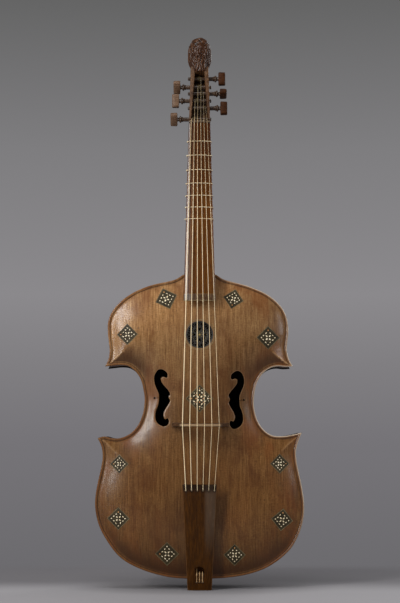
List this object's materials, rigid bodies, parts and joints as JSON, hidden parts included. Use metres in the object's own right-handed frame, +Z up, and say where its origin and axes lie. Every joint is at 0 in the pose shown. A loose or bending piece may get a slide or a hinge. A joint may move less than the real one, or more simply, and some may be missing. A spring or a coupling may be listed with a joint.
{
  "type": "viola da gamba",
  "caption": "Bass viol with a flat back, arched inlaid belly, brace-shaped soundholes, tied gut frets and turning pegs under a carved head.",
  "frame": {"origin": "middle of the bounding box in plan, at the level of the foot of the tailpiece", "axes": "+Z up along the neck, -Y out of the belly, +X to the right of someone who looks at the belly"},
  "size_m": [0.4338, 0.1952, 1.1794],
  "materials": {
    "belly_wood": "aged brown varnish over fine straight grain",
    "rib_wood": "aged brown varnish over maple",
    "inner_wood": "bare spruce",
    "neck_wood": "carved and varnished dark brown",
    "board_wood": "reddish brown, polished by use",
    "dark_wood": "dark brown, satin",
    "gut": "cream gut, satin",
    "mosaic": "mosaic of bone and dyed wood",
    "rose_black": "pierced and stained black"
  },
  "bodies": {
    "root": {"top_plate": "belly_wood", "back_plate": "rib_wood", "rib_upper_left": "rib_wood", "rib_middle_left": "rib_wood", "rib_lower": "rib_wood", "rib_middle_right": "rib_wood", "rib_upper_right": "rib_wood", "corner_block_upper_left": "inner_wood", "corner_block_lower_left": "inner_wood", "corner_block_upper_right": "inner_wood", "corner_block_lower_right": "inner_wood", "bottom_block": "inner_wood", "bass_bar": "inner_wood", "back_brace": "inner_wood", "sound_post": "inner_wood", "neck": "neck_wood", "carved_head": "neck_wood", "fingerboard": "board_wood", "nut": "dark_wood", "bridge": "dark_wood", "tailpiece": "dark_wood", "tail_pin": "dark_wood", "tail_gut": "gut", "string_1": "gut", "string_2": "gut", "string_3": "gut", "string_4": "gut", "string_5": "gut", "string_6": "gut", "inlay_upper_left_inner": "mosaic", "inlay_upper_right_inner": "mosaic", "inlay_upper_left_outer": "mosaic", "inlay_upper_right_outer": "mosaic", "inlay_centre": "mosaic", "inlay_middle_left": "mosaic", "inlay_middle_right": "mosaic", "inlay_lower_left_outer": "mosaic", "inlay_lower_right_outer": "mosaic", "inlay_lower_left_inner": "mosaic", "inlay_lower_right_inner": "mosaic", "rosette": "rose_black"},
    "peg_1": {"peg_1": "dark_wood", "string_1_winding": "gut"},
    "peg_2": {"peg_2": "dark_wood", "string_2_winding": "gut"},
    "peg_3": {"peg_3": "dark_wood", "string_3_winding": "gut"},
    "peg_4": {"peg_4": "dark_wood", "string_4_winding": "gut"},
    "peg_5": {"peg_5": "dark_wood", "string_5_winding": "gut"},
    "peg_6": {"peg_6": "dark_wood", "string_6_winding": "gut"},
    "fret_1": {"fret_1": "gut"},
    "fret_2": {"fret_2": "gut"},
    "fret_3": {"fret_3": "gut"},
    "fret_4": {"fret_4": "gut"},
    "fret_5": {"fret_5": "gut"},
    "fret_6": {"fret_6": "gut"},
    "fret_7": {"fret_7": "gut"}
  },
  "joints": [
    {"name": "peg_1_turn", "type": "hinge", "parent": "root", "child": "peg_1", "pos_m": [0.00005, 0.02478, 1.01698], "axis": [1, 0, 0], "continuous": true},
    {"name": "peg_2_turn", "type": "hinge", "parent": "root", "child": "peg_2", "pos_m": [0.00005, 0.03389, 1.05098], "axis": [1, 0, 0], "continuous": true},
    {"name": "peg_3_turn", "type": "hinge", "parent": "root", "child": "peg_3", "pos_m": [0.00005, 0.04328, 1.08604], "axis": [1, 0, 0], "continuous": true},
    {"name": "peg_4_turn", "type": "hinge", "parent": "root", "child": "peg_4", "pos_m": [0.00005, 0.0379, 1.06595], "axis": [1, 0, 0], "continuous": true},
    {"name": "peg_5_turn", "type": "hinge", "parent": "root", "child": "peg_5", "pos_m": [0.00005, 0.02933, 1.03398], "axis": [1, 0, 0], "continuous": true},
    {"name": "peg_6_turn", "type": "hinge", "parent": "root", "child": "peg_6", "pos_m": [0.00005, 0.01779, 0.9909], "axis": [1, 0, 0], "continuous": true},
    {"name": "fret_1_slide", "type": "slide", "parent": "root", "child": "fret_1", "axis": [0, 0.1353, 0.9908], "range_m": [-0.004, 0.004]},
    {"name": "fret_2_slide", "type": "slide", "parent": "root", "child": "fret_2", "axis": [0, 0.1353, 0.9908], "range_m": [-0.004, 0.004]},
    {"name": "fret_3_slide", "type": "slide", "parent": "root", "child": "fret_3", "axis": [0, 0.1353, 0.9908], "range_m": [-0.004, 0.004]},
    {"name": "fret_4_slide", "type": "slide", "parent": "root", "child": "fret_4", "axis": [0, 0.1353, 0.9908], "range_m": [-0.004, 0.004]},
    {"name": "fret_5_slide", "type": "slide", "parent": "root", "child": "fret_5", "axis": [0, 0.1353, 0.9908], "range_m": [-0.004, 0.004]},
    {"name": "fret_6_slide", "type": "slide", "parent": "root", "child": "fret_6", "axis": [0, 0.1353, 0.9908], "range_m": [-0.004, 0.004]},
    {"name": "fret_7_slide", "type": "slide", "parent": "root", "child": "fret_7", "axis": [0, 0.1353, 0.9908], "range_m": [-0.004, 0.004]}
  ]
}
